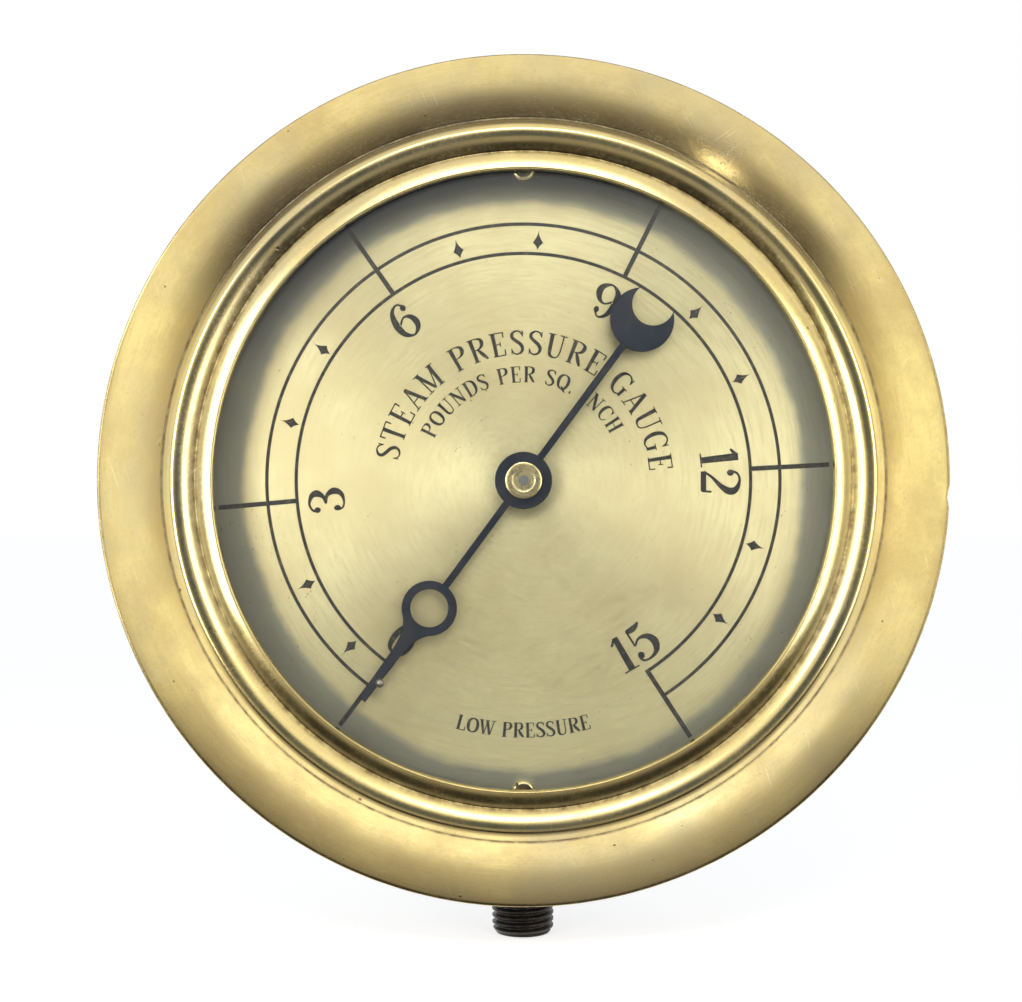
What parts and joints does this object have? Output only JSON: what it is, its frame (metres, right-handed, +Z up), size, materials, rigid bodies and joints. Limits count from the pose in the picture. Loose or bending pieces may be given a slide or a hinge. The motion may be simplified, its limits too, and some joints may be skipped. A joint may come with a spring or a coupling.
{
  "type": "steam pressure gauge",
  "caption": "Round dial gauge for low steam pressure: screwed ring over a black case, engraved brass dial, dark pointer, curved pressure tube and geared movement, bottom stem.",
  "frame": {"origin": "centre of the lower end of the threaded stem", "axes": "+Z up the stem to the pointer axis, -Y out of the dial towards the reader, +X to the reader's right"},
  "size_m": [0.1714, 0.0476, 0.1807],
  "materials": {
    "case_enamel": "black baked enamel on cast iron",
    "ring_brass": "turned and polished, worn and spotted",
    "dial_brass": "satin grained, engraved and black filled",
    "glass": "clear flat glass",
    "packing": "dark packing",
    "blued_steel": "heat blued",
    "brass": "machined",
    "steel": "machined",
    "tube_brass": "drawn, dull",
    "spring_bronze": "rolled",
    "blackened_brass": "blackened"
  },
  "bodies": {
    "case_body": {"case": "case_enamel", "bezel_ring": "ring_brass", "glass": "glass", "glass_packing": "packing", "dial": "dial_brass", "dial_screws": "steel", "stop_pin": "steel", "stem_socket": "blackened_brass", "socket_screws": "steel", "pressure_tube": "tube_brass", "movement_back_plate": "brass", "movement_front_plate": "brass", "movement_pillars": "brass", "plate_screws": "steel", "movement_screws": "steel", "hairspring_stud": "brass", "hairspring": "spring_bronze"},
    "pointer_body": {"pointer": "blued_steel", "pointer_boss": "brass", "pinion_arbor": "steel", "hairspring_collet": "brass"},
    "sector_body": {"sector_gear": "brass", "sector_arbor": "steel", "tail_slide": "brass", "tail_screw": "steel", "link_screw": "steel"},
    "link_body": {"link": "brass"},
    "tip_body": {"tube_tip": "brass", "tip_screw": "steel"}
  },
  "joints": [
    {"name": "sector_swing", "type": "hinge", "parent": "case_body", "child": "sector_body", "pos_m": [0.01646, 0, 0.07753], "axis": [0, -1, 0], "range_deg": [0, 23.51], "stiffness_Nm_per_rad": 0.04, "springref_deg": -2.86},
    {"name": "pointer_turn", "type": "hinge", "parent": "case_body", "child": "pointer_body", "pos_m": [0, 0, 0.095], "axis": [0, 1, 0], "range_deg": [0, 290], "deforming": ["hairspring"]},
    {"name": "link_swing", "type": "hinge", "parent": "sector_body", "child": "link_body", "pos_m": [0.02596, 0, 0.0702], "axis": [0, -1, 0], "range_deg": [-23.51, 0]},
    {"name": "tip_travel", "type": "slide", "parent": "case_body", "child": "tip_body", "axis": [0.4368, 0, 0.8996], "range_m": [0, 0.00489], "deforming": ["pressure_tube"]}
  ],
  "couplings": [
    {"joint": "pointer_turn", "follows": "sector_swing", "ratio": 12.333},
    {"joint": "link_swing", "follows": "sector_swing", "ratio": -1},
    {"joint": "tip_travel", "follows": "sector_swing", "m_per_rad": 0.011916}
  ]
}
